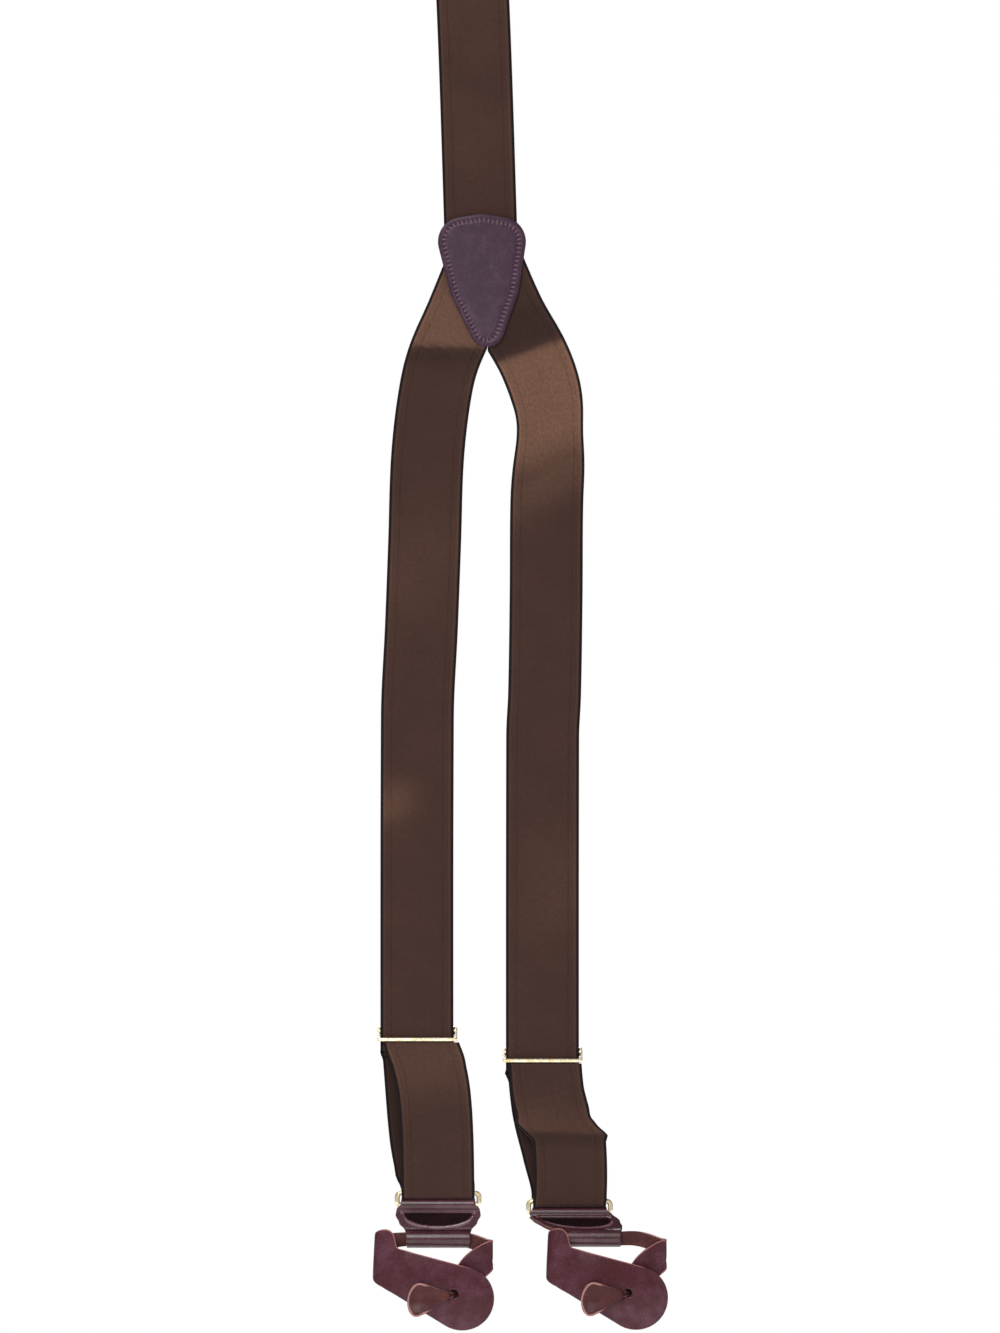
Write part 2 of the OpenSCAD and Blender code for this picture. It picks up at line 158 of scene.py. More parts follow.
surround = bpy.data.worlds.new("surround")
scene.world = surround
surround.use_nodes = True
w_nodes, w_links = surround.node_tree.nodes, surround.node_tree.links
w_nodes.clear()
light_path = w_nodes.new("ShaderNodeLightPath")
w_mix = w_nodes.new("ShaderNodeMixShader")
w_out = w_nodes.new("ShaderNodeOutputWorld")
w_links.new(light_path.outputs["Is Camera Ray"], w_mix.inputs[0])
for slot, colour, strength in ((1, (1.0, 0.99, 0.98, 1), 0.2), (2, (1, 1, 1, 1), 1.0)):
    background = w_nodes.new("ShaderNodeBackground")
    background.inputs["Color"].default_value = colour
    background.inputs["Strength"].default_value = strength
    w_links.new(background.outputs[0], w_mix.inputs[slot])
w_links.new(w_mix.outputs[0], w_out.inputs["Surface"])

floor_drop = 0.12
bm = bmesh.new()
bmesh.ops.create_grid(bm, x_segments=4, y_segments=4, size=1.1)
bmesh.ops.translate(bm, verts=bm.verts, vec=(0, 0, cad_box[0][2] - floor_drop))
floor_mesh = bpy.data.meshes.new("floor")
bm.to_mesh(floor_mesh)
bm.free()
floor = bpy.data.objects.new("floor", floor_mesh)
scene.collection.objects.link(floor)
floor_paint = bpy.data.materials.new("floor_paint")
floor_paint.use_nodes = True
floor_paint_socket = floor_paint.node_tree.nodes["Principled BSDF"].inputs
floor_paint_socket["Base Color"].default_value = (0.86, 0.86, 0.86, 1)
floor_paint_socket["Roughness"].default_value = 0.9
floor_paint_socket["Specular IOR Level"].default_value = 0.1
floor_paint_socket["Emission Color"].default_value = (1, 1, 1, 1)
floor_paint_socket["Emission Strength"].default_value = 0.62
floor_mesh.materials.append(floor_paint)
print("camera lens", round(camera_data.lens, 1), "mm")

# %% [markdown]
# Shader node groups keep an effect in one place. Every group here is built by naming its
# inputs, then wiring plain nodes between them and its three outputs. Short helpers make the
# wiring readable: each adds a node, and takes numbers or sockets as its inputs.

# %% Helpers for shader nodes
def new_group(name, **inputs):
    """A shader group with named inputs that puts out a colour, a roughness and a height."""
    tree = bpy.data.node_groups.new(name, "ShaderNodeTree")
    for label, value in inputs.items():
        kind = "NodeSocketFloat" if isinstance(value, float) else "NodeSocketColor"
        tree.interface.new_socket(label, in_out="INPUT", socket_type=kind).default_value = value
    for label in ("Colour", "Roughness", "Height"):
        kind = "NodeSocketColor" if label == "Colour" else "NodeSocketFloat"
        tree.interface.new_socket(label, in_out="OUTPUT", socket_type=kind)
    return tree, tree.nodes.new("NodeGroupInput").outputs


def feed(tree, socket, value):
    """Links a socket, or sets a plain value."""
    if isinstance(value, bpy.types.NodeSocket):
        tree.links.new(value, socket)
    else:
        socket.default_value = value


def put_out(tree, colour, roughness, height):
    outlet = tree.nodes.new("NodeGroupOutput")
    for socket, value in zip(outlet.inputs, (colour, roughness, height)):
        feed(tree, socket, value)


def math_node(tree, operation, a, b=0.0):
    node = tree.nodes.new("ShaderNodeMath")
    node.operation = operation
    feed(tree, node.inputs[0], a)
    feed(tree, node.inputs[1], b)
    return node.outputs[0]


def times(tree, a, b):
    return math_node(tree, "MULTIPLY", a, b)


def total(tree, base, *parts):
    """A base value plus each (value, share) multiplied together."""
    for value, share in parts:
        base = math_node(tree, "ADD", times(tree, value, share), base)
    return base


def ramp(tree, value, low, high):
    """0 below low, 1 above high, smooth between; low may be above high."""
    node = tree.nodes.new("ShaderNodeMapRange")
    node.interpolation_type = "SMOOTHSTEP"
    feed(tree, node.inputs["Value"], value)
    node.inputs["From Min"].default_value = min(low, high)
    node.inputs["From Max"].default_value = max(low, high)
    node.inputs["To Min"].default_value = 0.0 if low < high else 1.0
    node.inputs["To Max"].default_value = 1.0 if low < high else 0.0
    return node.outputs["Result"]


def noise(tree, vector, scale, detail=3.0, roughness=0.55):
    node = tree.nodes.new("ShaderNodeTexNoise")
    feed(tree, node.inputs["Vector"], vector)
    node.inputs["Scale"].default_value = scale
    node.inputs["Detail"].default_value = detail
    node.inputs["Roughness"].default_value = roughness
    return node.outputs["Fac"]


def attribute(tree, name):
    node = tree.nodes.new("ShaderNodeAttribute")
    node.attribute_name = name
    return node.outputs["Fac"]


def mix_colour(tree, factor, a, b, blend="MIX"):
    node = tree.nodes.new("ShaderNodeMix")
    node.data_type = "RGBA"
    node.blend_type = blend
    feed(tree, node.inputs[0], factor)
    feed(tree, node.inputs[6], a)
    feed(tree, node.inputs[7], b)
    return node.outputs[2]


def shaded(tree, colour, value):
    """A colour made darker or lighter by a value."""
    grey = tree.nodes.new("ShaderNodeCombineColor")
    for channel in range(3):
        feed(tree, grey.inputs[channel], value)
    return mix_colour(tree, 1.0, colour, grey.outputs[0], "MULTIPLY")


def tone(red, green, blue):
    """A display colour, 0 to 255, as the linear colour that a shader takes."""
    share = [v / 255 for v in (red, green, blue)]
    linear = [v / 12.92 if v <= 0.04045 else ((v + 0.055) / 1.055) ** 2.4 for v in share]
    return (*linear, 1.0)

# %% [markdown]
# Elastic webbing is woven from fine brown yarn over rubber cores. It has a plain, slightly
# ribbed middle, a lighter ridge beside each edge, and a near-black corded edge. The pattern
# must follow the strap round every bend, so it reads the strap's own UV map, which is laid
# out in millimetres: U runs across the width and V along the length. A paler tone is painted
# light where a bent strap faces the lamps, and a darker tone is painted shade in creases and
# inside the loops; that share is stored on the mesh as an attribute.

# %% The weave group
yarn_pitch, rib_pitch = 0.95, 1.1
weave, w_in = new_group("webbing_weave", Width=webbing_w, Body=tone(61, 40, 34),
                        Edge=tone(20, 12, 14), Pale=tone(114, 82, 65))
strap_uv = weave.nodes.new("ShaderNodeUVMap")
strap_uv.uv_map = "webbing"
strap_place = strap_uv.outputs[0]
split = weave.nodes.new("ShaderNodeSeparateXYZ")
weave.links.new(strap_place, split.inputs[0])
across, along = split.outputs[0], split.outputs[1]
from_right = math_node(weave, "SUBTRACT", w_in["Width"], across)
from_edge = math_node(weave, "MINIMUM", across, from_right)

warp_wave = math_node(weave, "SINE", times(weave, across, 2 * math.pi / yarn_pitch))
half_shift = times(weave, math_node(weave, "SIGN", warp_wave), math.pi / 2)
rib_wave = math_node(weave, "SINE", total(weave, half_shift, (along, 2 * math.pi / rib_pitch)))
yarn = times(weave, math_node(weave, "ABSOLUTE", warp_wave), rib_wave)
yarn = total(weave, 0.5, (yarn, 0.5))

uneven = noise(weave, strap_place, 0.5, 4.0, 0.6)
blotch = noise(weave, strap_place, 0.045, 2.0, 0.5)
# Painted light (share above 0) and painted shade (share below 0), read from the mesh.
light_part = math_node(weave, "MAXIMUM", attribute(weave, "painted_shading"), 0.0)
dark_part = math_node(weave, "MINIMUM", attribute(weave, "painted_shading"), 0.0)
painted_light = times(weave, light_part, total(weave, 0.75, (uneven, 0.5)))

cord = ramp(weave, from_edge, 1.55, 1.15)
ridge = times(weave, ramp(weave, from_edge, 1.4, 1.9), ramp(weave, from_edge, 3.0, 2.4))
inner_line = times(weave, ramp(weave, from_edge, 5.0, 5.4), ramp(weave, from_edge, 6.2, 5.8))

shade = total(weave, 0.43, (yarn, 0.30), (uneven, 0.46), (blotch, 0.34), (ridge, 0.22),
              (inner_line, -0.16))
# Painted shade darkens the weave where the share is below 0.
shade = times(weave, shade, total(weave, 1.0, (dark_part, 0.6)))
colour = shaded(weave, mix_colour(weave, painted_light, w_in["Body"], w_in["Pale"]), shade)
put_out(weave, mix_colour(weave, cord, colour, w_in["Edge"]),
        total(weave, 0.86, (painted_light, -0.12)),
        total(weave, 0.0, (yarn, 0.10), (ridge, 0.16), (cord, 0.25), (inner_line, -0.12)))

# %% [markdown]
# Leather needs a fine grain of small cells, soft larger creases, and wear: raised places are
# a little paler and smoother. The paler tone is also the leather's sheen colour, so those
# patches are partly wear and partly painted sheen. Object coordinates suit it, because a hide
# has no direction that follows the piece. The same group serves the crosspatch, the holders
# and the button straps with different colours, and again, paler and duller, for their cut
# edges. Where a mesh carries the share "rim", the colour of a cut edge shows; on the holders
# the same share paints a highlight on the raised lip round the pressed window.

# %% The leather group
hide, h_in = new_group("leather_grain", Body=tone(79, 56, 68), Worn=tone(99, 77, 92),
                       Rim=tone(168, 106, 100), Grain=900.0, Gloss=0.38)
hide_place = hide.nodes.new("ShaderNodeTexCoord").outputs["Object"]
cells = hide.nodes.new("ShaderNodeTexVoronoi")
cells.feature = "DISTANCE_TO_EDGE"
feed(hide, cells.inputs["Vector"], hide_place)
feed(hide, cells.inputs["Scale"], h_in["Grain"])
pebble = ramp(hide, cells.outputs["Distance"], 0.02, 0.32)
creases = noise(hide, hide_place, 160, 4.0, 0.62)
patches = noise(hide, hide_place, 42, 2.0, 0.5)
pores = noise(hide, hide_place, 2200, 2.0, 0.5)
# Paler patches: partly wear, partly painted sheen.
wear_and_sheen = ramp(hide, total(hide, 0.0, (creases, 0.6), (patches, 0.4)), 0.42, 0.68)
skin = mix_colour(hide, times(hide, wear_and_sheen, 0.6), h_in["Body"], h_in["Worn"])
rim_share = ramp(hide, total(hide, attribute(hide, "rim"), (creases, 0.2)), 0.45, 0.75)
skin = mix_colour(hide, times(hide, rim_share, 0.85), skin, h_in["Rim"])
skin = shaded(hide, skin, total(hide, 0.72, (pebble, 0.24), (pores, 0.14)))
gloss = math_node(hide, "ADD", h_in["Gloss"], total(hide, 0.05, (wear_and_sheen, -0.10)))
put_out(hide, skin, gloss, total(hide, 0.0, (pebble, 0.05), (creases, 0.16)))

# %% [markdown]
# A material places a group, sets its values, and joins it to one Principled shader. The bump
# distance is one millimetre, so a group's Height output is in millimetres of relief.

# %% Materials from the groups
def finish(name, group, values, strength=0.6, **shader):
    """A material that takes colour, roughness and relief from a group."""
    material = bpy.data.materials.new(name)
    material.use_nodes = True
    tree = material.node_tree
    principled = tree.nodes["Principled BSDF"]
    placed = tree.nodes.new("ShaderNodeGroup")
    placed.node_tree = group
    for label, value in values.items():
        placed.inputs[label].default_value = value
    bump = tree.nodes.new("ShaderNodeBump")
    bump.inputs["Strength"].default_value = strength
    bump.inputs["Distance"].default_value = MM
    tree.links.new(placed.outputs["Height"], bump.inputs["Height"])
    tree.links.new(bump.outputs["Normal"], principled.inputs["Normal"])
    tree.links.new(placed.outputs["Colour"], principled.inputs["Base Color"])
    tree.links.new(placed.outputs["Roughness"], principled.inputs["Roughness"])
    for label, value in shader.items():
        principled.inputs[label.replace("_", " ")].default_value = value
    return material


webbing = finish("brown_elastic_webbing", weave, {}, 0.7,
                 Sheen_Weight=0.10, Sheen_Roughness=0.5, Specular_IOR_Level=0.16)
patch_leather = finish("crosspatch_leather", hide,
                       {"Body": tone(61, 38, 55), "Worn": tone(78, 54, 72), "Gloss": 0.32},
                       0.5, Specular_IOR_Level=0.2)
# On the holders the Rim tone is a painted highlight on the lip round the pressed window.
holder_leather = finish("holder_leather", hide,
                        {"Body": tone(62, 24, 32), "Worn": tone(96, 58, 70), "Gloss": 0.24,
                         "Rim": tone(124, 92, 98)}, 0.18, Specular_IOR_Level=0.6)
strap_leather = finish("button_strap_leather", hide,
                       {"Body": tone(72, 28, 35), "Worn": tone(100, 62, 78), "Gloss": 0.27},
                       0.3, Specular_IOR_Level=0.3)
inner_leather = finish("button_strap_reverse", hide,
                       {"Body": tone(72, 30, 31), "Worn": tone(104, 54, 53), "Gloss": 0.42,
                        "Rim": tone(182, 136, 132)}, 0.5, Specular_IOR_Level=0.25)
cut_edge = finish("cut_leather_edge", hide,
                  {"Body": tone(128, 84, 82), "Worn": tone(168, 128, 124), "Grain": 1600.0,
                   "Gloss": 0.7}, 0.6, Specular_IOR_Level=0.25)
# Painted shade: this near-black leather fills the holder's pressed-in window, where shade falls
# between the stitch rows.
recess_shade_leather = finish("recess_shade_leather", hide,
                         {"Body": tone(22, 5, 9), "Worn": tone(34, 11, 16), "Gloss": 0.75,
                          "Rim": tone(84, 56, 62)}, 0.5, Specular_IOR_Level=0.1)

# %% [markdown]
# The rings and adjusters are pale brass-plated steel. Plating is smooth and bright, with a
# faint long scratch pattern and duller places where fingers and webbing rub it.

# %% Brass and thread
plate, p_in = new_group("plated_brass", Bright=tone(252, 242, 212), Dull=tone(222, 200, 150))
plate_place = plate.nodes.new("ShaderNodeTexCoord").outputs["Object"]
stretch = plate.nodes.new("ShaderNodeMapping")
stretch.inputs["Scale"].default_value = (160, 1400, 1400)
feed(plate, stretch.inputs["Vector"], plate_place)
scratches = noise(plate, stretch.outputs[0], 1.0, 3.0, 0.6)
rubbed = ramp(plate, noise(plate, plate_place, 260, 3.0), 0.42, 0.66)
put_out(plate, mix_colour(plate, rubbed, p_in["Bright"], p_in["Dull"]),
        total(plate, 0.2, (rubbed, 0.14)), times(plate, scratches, 0.006))
brass = finish("pale_brass", plate, {}, 0.8, Metallic=0.7)

twist, t_in = new_group("twisted_thread", Body=tone(108, 80, 95))
plies = twist.nodes.new("ShaderNodeTexWave")
plies.bands_direction = "DIAGONAL"
plies.inputs["Scale"].default_value = 420
feed(twist, plies.inputs["Vector"], twist.nodes.new("ShaderNodeTexCoord").outputs["Object"])
ply = plies.outputs["Fac"]
put_out(twist, shaded(twist, t_in["Body"], total(twist, 0.7, (ply, 0.45))),
        total(twist, 0.5, (ply, 0.1)), times(twist, ply, 0.1))
thread = finish("waxed_thread", twist, {}, 0.8, Specular_IOR_Level=0.5)
print("materials", sorted(m.name for m in bpy.data.materials))

# %% [markdown]
# Webbing is modelled directly, as a flat ribbon that follows its middle line. A bmesh grid is
# made once per piece and its rows are moved along the line, so the mesh, the UV map and the
# weave all run the same way. The solidify operator then gives the ribbon its thickness, and
# its rims are marked sharp, so that the flat faces shade evenly right up to the edge. Cloth
# simulation isn't needed, because the straps hang straight from a bar.

# %% Ribbon helpers
def slope(line, i):
    low, high = max(i - 1, 0), min(i + 1, len(line) - 1)
    return (line[high][1] - line[low][1]) / (line[high][0] - line[low][0])


def line_x(line, z):
    """x of a strap's middle line at height z, smooth through its points."""
    i = max([0] + [k for k in range(len(line) - 1) if line[k][0] >= z])
    (za, xa), (zb, xb) = line[i], line[i + 1]
    h = zb - za
    f = (z - za) / h
    return (xa * (1 + 2 * f) * (1 - f) ** 2 + slope(line, i) * h * f * (1 - f) ** 2
            + xb * f * f * (3 - 2 * f) + slope(line, i + 1) * h * f * f * (f - 1))


def run(line, top, bottom, y, step=3.0):
    """Points down a middle line; y is a number or a function of z."""
    count = max(2, round(abs(top - bottom) / step))
    heights = [top + (bottom - top) * k / count for k in range(count + 1)]
    return [(line_x(line, z), y(z) if callable(y) else y, z) for z in heights]


def arc(x, y, z, r, start, end, parts=10):
    """Points round an arc in the side view, by angle from +y towards +z."""
    turns = [math.radians(start + (end - start) * k / parts) for k in range(parts + 1)]
    return [(x, y + r * math.cos(a), z + r * math.sin(a)) for a in turns]


def make_object(name, mesh_bm, materials):
    for face in mesh_bm.faces:
        face.smooth = True
    mesh = bpy.data.meshes.new(name)
    mesh_bm.to_mesh(mesh)
    mesh_bm.free()
    for material in materials:
        mesh.materials.append(material)
    piece = bpy.data.objects.new(name, mesh)
    scene.collection.objects.link(piece)
    return piece


def gap(a, b):
    return (Vector(a) - Vector(b)).length


def step_up(value, low, high):
    """0 at low, 1 at high and level beyond; low may be above high."""
    return min(1.0, max(0.0, (value - low) / (high - low)))


def smooth_step(value, low, high):
    f = step_up(value, low, high)
    return f * f * (3 - 2 * f)


def swells(value, places):
    """A sum of soft bumps, each (middle, half width, size)."""
    return sum(size * math.exp(-((value - at) / half) ** 2) for at, half, size in places)


def thicken(bm, thickness):
    """Gives a sheet its wall, half to each side, with crisp rims that still shade cleanly."""
    bm.normal_update()
    half = {v: v.co + v.normal * thickness / 2 for v in bm.verts}
    for vert, place in half.items():
        vert.co = place
    bmesh.ops.solidify(bm, geom=bm.faces[:], thickness=thickness)
    bmesh.ops.recalc_face_normals(bm, faces=bm.faces[:])
    for edge in bm.edges:
        edge.smooth = edge.calc_face_angle(0.0) < math.radians(40)


def webbing_ribbon(name, points, painted_shading=None, keep=None, narrow=None, start=0.0, ends=(None, None),
                   level_rows=False):
    """A strap of webbing along points in millimetres.

    Its shading function (x, z, row) gives the share of painted light (above 0) or painted shade
    (below 0), ends are the points beyond each end where the strap goes on, and level_rows keeps
    every row level.
    """
    lengths = [start]
    for a, b in zip(points, points[1:]):
        lengths.append(lengths[-1] + gap(a, b))
    line = [ends[0] or points[0]] + list(points) + [ends[1] or points[-1]]
    rows, columns = len(points) - 1, 14
    bm = bmesh.new()
    uv = bm.loops.layers.uv.new("webbing")
    pale = bm.verts.layers.float.new("painted_shading")
    bmesh.ops.create_grid(bm, x_segments=columns, y_segments=rows, size=0.5)
    placed = {}
    for vert in bm.verts:
        share, row = vert.co.x + 0.5, round((vert.co.y + 0.5) * rows)
        ahead = (Vector(line[row + 2]) - Vector(line[row])).normalized()
        level = (Vector((1, 0, 0)) - ahead * ahead.x).normalized()
        if level_rows:
            level = Vector((min(1.1, 1 / max(0.2, level.x)), 0, 0))
        here = Vector(points[row])
        width = webbing_w * (narrow(here.z) if narrow else 1.0)
        spot = here + level * (share - 0.5) * width
        vert.co = world(*spot)
        vert[pale] = max(-1.0, min(1.0, painted_shading(spot.x, spot.z, row))) if painted_shading else 0.0
        placed[vert] = (share * webbing_w, lengths[row])
    for face in bm.faces:
        for loop in face.loops:
            loop[uv].uv = placed[loop.vert]
    if keep:
        side, limit = keep
        bmesh.ops.bisect_plane(bm, geom=bm.verts[:] + bm.edges[:] + bm.faces[:],
                               plane_co=world(limit, 0, 0), plane_no=(side, 0, 0),
                               clear_outer=True)
    thicken(bm, webbing_t * MM)
    piece = make_object(name, bm, [webbing])
    length = lengths[-1] - start
    print(name, "length", round(length, 1), "mm,", rows, "rows")
    return piece, length


def bands(*places):
    """A sum of pale or dark bands across a strap: painted light and painted shade.

    Each is (top, bottom, softness at the top, softness at the bottom, share, lean, x, reach):
    it leans by lean about x, and a reach makes it thin out away from x.
    """
    def share(x, z, row):
        pale = 0.0
        for top, bottom, soft_top, soft_bottom, amount, lean, at_x, reach in places:
            d = z - lean * (x - at_x)
            pale += (amount / (1 + math.exp((d - top) / soft_top * 2))
                     / (1 + math.exp((bottom - d) / soft_bottom * 2))
                     * (math.exp(-((x - at_x) / reach) ** 2) if reach else 1.0))
        return pale
    return share


# %% [markdown]
# The back strap goes over the display bar. Its tail is turned up round the back ring and
# sewn, and its front run goes down to the crosspatch. It is one ribbon in life, so it is one
# ribbon here, from the hanging part down to the crosspatch.

# %% Back strap
bar_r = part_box("back_strap_over_bar")[1][1] / MM - webbing_t
over_r = bar_r + webbing_t / 2
back_ring = (ring_centre("back") - PATCH) / MM
top_z = -PATCH.z / MM
fold_r = 2.3
back_line = [[230, 0], [190, 0.3], [110, 4.8], [0, 8.6], [-40, 9.5]]
back_line = [[z, x - PATCH.x / MM] for z, x in back_line]
back_x = back_line[0][1]
tail = [(back_x, bar_r + webbing_t * 1.5, back_ring.z + 16),
        (back_x, bar_r + webbing_t * 1.5, back_ring.z + 12),
        (back_x, bar_r + webbing_t * 1.5, back_ring.z + 8),
        (back_x, back_ring.y + fold_r - 0.7, back_ring.z + 3.6),
        (back_x, back_ring.y + fold_r, back_ring.z + 1.6)]
tail += arc(back_x, back_ring.y, back_ring.z, fold_r, 0, -180)
tail += [(back_x, over_r, top_z - 3.0 * k) for k in range(12, 0, -1)]
tail += arc(back_x, 0, top_z, over_r, 0, 180, 24)
tail += [(back_x, -over_r, top_z - 5.0 * k) for k in range(1, 4)]
front_run = run(back_line, top_z - 20, -24, strap_y)
# Two faint pale bands of painted light on the back strap.
back_strap, back_length = webbing_ribbon(
    "back_webbing", tail + front_run,
    bands((150, 90, 25, 25, 0.12, 0.3, 0, 0), (60, 25, 15, 20, 0.08, -0.2, 0, 0)))
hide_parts("back_strap_over_bar", "back_strap_tail", "back_strap_front_run",
            "back_strap_end")
world(back_x, strap_y, top_z - 45)
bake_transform(back_strap)

# %% [markdown]
# The two front straps fan out from under the crosspatch, then hang. Each is split in three
# where it stays firm: a top piece, a middle piece, and a lower piece that runs through the
# adjuster and on between the loop's two layers.

# %% Middle lines of the front straps
strap_lines = {
    "left": [[-20, 3], [-52, -10], [-76, -20.3], [-97, -25], [-128, -28.4], [-170, -29.8],
             [-215, -31.5], [-262, -33.6], [-600, -33.6]],
    "right": [[-20, 0], [-52, 14], [-76, 27.3], [-97, 34.2], [-118, 35.4], [-149, 33.8],
              [-200, 33.4], [-250, 32.6], [-272, 31.6], [-600, 31.6]],
}
adjuster_drop = {}
for side in ("left", "right"):
    low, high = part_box(side + "_strap_in_adjuster")
    adjuster_drop[side] = -(high[2] - PATCH.z) / MM + 12 - 0.4
# Painted light and shade across the front straps: pale bands where a bend faces the lamps, and
# dark bands of painted shade in the creases.
shading_bands = {
    "left": bands((-28, -69.5, 16, 1.4, 0.62, -0.03, -18, 0),
                  (-70.5, -78, 1.4, 5, -0.62, -0.03, -18, 0),
                  (-160, -205, 12, 14, 0.10, 0.4, -30, 0),
                  (-299, -316, 8, 5, 0.34, 0.35, -48, 13)),
    "right": bands((-42, -69, 8, 1.6, -0.50, 0.36, 27, 0),
                   (-70, -130, 2.0, 9, 0.76, 0.36, 27, 0),
                   (-136, -152, 4, 8, 0.22, 0.5, 30, 0),
                   (-322, -372, 12, 14, 0.12, 0.3, 46, 24)),
}
waves = {
    "left": [(-68, 7, 1.0), (-100, 9, -0.8), (-318, 16, 0.9)],
    "right": [(-80, 8, -1.0), (-128, 12, 1.4), (-328, 14, 0.8)],
}


def wavy(side):
    """The strap's y at a height, with the soft swells that worn webbing keeps."""
    def y(z):
        return strap_y - swells(z, waves[side])
    return y


def twist_narrow(z):
    """The right strap turns a little below its bend, so that it looks narrower there."""
    return 1.0 - 0.09 * math.exp(-((z + 112) / 16) ** 2)


print("adjusters below the patch", {k: round(v, 1) for k, v in adjuster_drop.items()})

# %% Front straps
row_step = 2.5
for side in ("left", "right"):
    line, drop = strap_lines[side], adjuster_drop[side]
    y = wavy(side)
    narrow = twist_narrow if side == "right" else None
    keep = (1, 2.8) if side == "left" else (-1, 3.0)
    upper_cut, lower_cut, end = -110, -drop + 165, -drop - 6

    def beyond(z):
        return (line_x(line, z), y(z), z)

    top, length = webbing_ribbon(side + "_top_webbing", run(line, -24, upper_cut, y, row_step),
                                 shading_bands[side], keep=keep, narrow=narrow,
                                 ends=(None, beyond(upper_cut - row_step)))
    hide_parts(side + "_strap_top", side + "_strap_upper")
    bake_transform(top)

    middle_strap, more = webbing_ribbon(
        side + "_middle_webbing", run(line, upper_cut, lower_cut, y, row_step), shading_bands[side],
        narrow=narrow, start=length,
        ends=(beyond(upper_cut + row_step), beyond(lower_cut - row_step)))
    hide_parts(side + "_strap_middle")
    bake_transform(middle_strap)

    lower, rest = webbing_ribbon(
        side + "_lower_webbing", run(line, lower_cut, end, y, row_step), shading_bands[side],
        start=length + more, ends=(beyond(lower_cut + row_step), None))
    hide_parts(side + "_strap_lower", side + "_strap_in_adjuster")
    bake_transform(lower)

# %% [markdown]
# Below the adjuster the webbing goes down to the ring, round it and back up to the
# adjuster's middle bar, where its end is sewn. That loop is one ribbon too: the front layer,
# the fold round the ring, the back layer and the sewn end. The middle lines of the two
# layers differ, because the loop has slumped sideways.

# %% Loops
front_lines = {
    "left": [[-425, -32.4], [-431, -31.6], [-443, -27.8], [-458, -24.9], [-480, -23.4],
             [-515, -22.8]],
    "right": [[-436, 32.4], [-455, 34.0], [-466, 36.4], [-473.5, 38.6], [-479.5, 44.6],
              [-484, 45.6], [-500, 46.2], [-520, 45.6]],
}
back_lines = {
    "left": [[-425, -33.6], [-445, -32.2], [-480, -29.2], [-498, -25.8], [-507, -23.0],
             [-520, -22.8]],
    "right": [[-436, 31.6], [-465, 34.5], [-490, 40.5], [-506, 44.4], [-520, 45.6]],
}
loop_bulge = {"left": [(-470, 24, 1.2)], "right": [(-486, 6.5, 2.4), (-470, 7, -0.7)]}
# Painted light and shade on the loops' front layers: a pale band where the webbing faces the
# lamps, and under the right loop's kink a dark band of painted shade.
loop_shading_bands = {
    "left": bands((-430, -455, 4, 12, 0.22, 0, 0, 0)),
    "right": bands((-468, -478.5, 8, 1.0, 0.20, -0.04, 45, 0),
                   (-479.5, -484, 0.8, 3, -0.45, -0.04, 45, 0)),
}
front_layer_y = strap_y - webbing_t - 0.5
back_layer_y = strap_y + webbing_t + 0.5 + webbing_t
bar_y, bar_rise, bar_fold = -4.53, 3.16, 2.17
for side in ("left", "right"):
    loop_top = -adjuster_drop[side] - 1.6
    ring = (ring_centre(side) - PATCH) / MM
    end_x = strap_lines[side][-1][1]
    bar_z = bar_rise - adjuster_drop[side]

    def closing(z, layer_y, at_ring):
        """A layer's y, which closes on the ring over the last 10 mm."""
        return layer_y + (at_ring - layer_y) * step_up(z, ring.z + 10, ring.z)

    def front_at(z):
        inside = min(1.0, (loop_top - z) / 12) * min(1.0, (z - ring.z) / 8)
        return (closing(z, front_layer_y, ring.y - fold_r)
                - swells(z, loop_bulge[side]) * inside)

    def back_at(z):
        return closing(z, back_layer_y, ring.y + fold_r)

    points = run(front_lines[side], loop_top, ring.z + 1.5, front_at, 1.5)
    front_count = len(points) + 5
    points += arc(ring.x, ring.y, ring.z, fold_r, 180, 360)
    points += run(back_lines[side], ring.z + 1.5, loop_top - 7.4, back_at, 2.5)
    points += [(end_x, back_layer_y, loop_top - 5.4), (end_x, back_layer_y + 0.3, loop_top - 3.4),
               (end_x, bar_y + bar_fold - 0.4, loop_top + 0.6),
               (end_x, bar_y + bar_fold, loop_top + 2.6)]
    points += arc(end_x, bar_y, bar_z, bar_fold, 0, 180, 8)
    points += [(end_x, bar_y - bar_fold, bar_z - 3.0 * k) for k in range(1, 5)]

    # The back layer is painted dark: painted shade inside the loop.
    def loop_shading(x, z, row):
        return loop_shading_bands[side](x, z, row) if row < front_count else -0.7

    loop, length = webbing_ribbon(side + "_loop_webbing", points, loop_shading, level_rows=True)
    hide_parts(side + "_loop_front", side + "_loop_back", side + "_loop_fold",
                side + "_adjuster_strap_end")
    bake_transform(loop)

# %% [markdown]
# Stitches are short lengths of thick thread that sink into the material at both ends. A low
# sphere stretched along the stitch gives that shape with few faces, and one bmesh holds a
# whole row, which then rides as one piece.

# %% Stitches
def stitch_row(name, body, node, places, matrix=None, size=(3.1, 0.85, 0.9)):
    """A row of stitches; each place is (x, y, z, angle in the x-z plane), in millimetres."""
    bm = bmesh.new()
    for x, y, z, angle in places:
        spot = (matrix or Matrix.Translation(PATCH)) @ Matrix.Scale(MM, 4)
        spot = spot @ Matrix.Translation((x, y, z)) @ Matrix.Rotation(-angle, 4, "Y")
        spot = spot @ Matrix.Diagonal((size[0] / 2, size[2] / 2, size[1] / 2, 1))
        bmesh.ops.create_uvsphere(bm, u_segments=8, v_segments=6, radius=1.0, matrix=spot)
    piece = make_object(name, bm, [thread])
    if node:
        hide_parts(node)
    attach(piece, body)
    print(name, len(places), "stitches")
    return piece


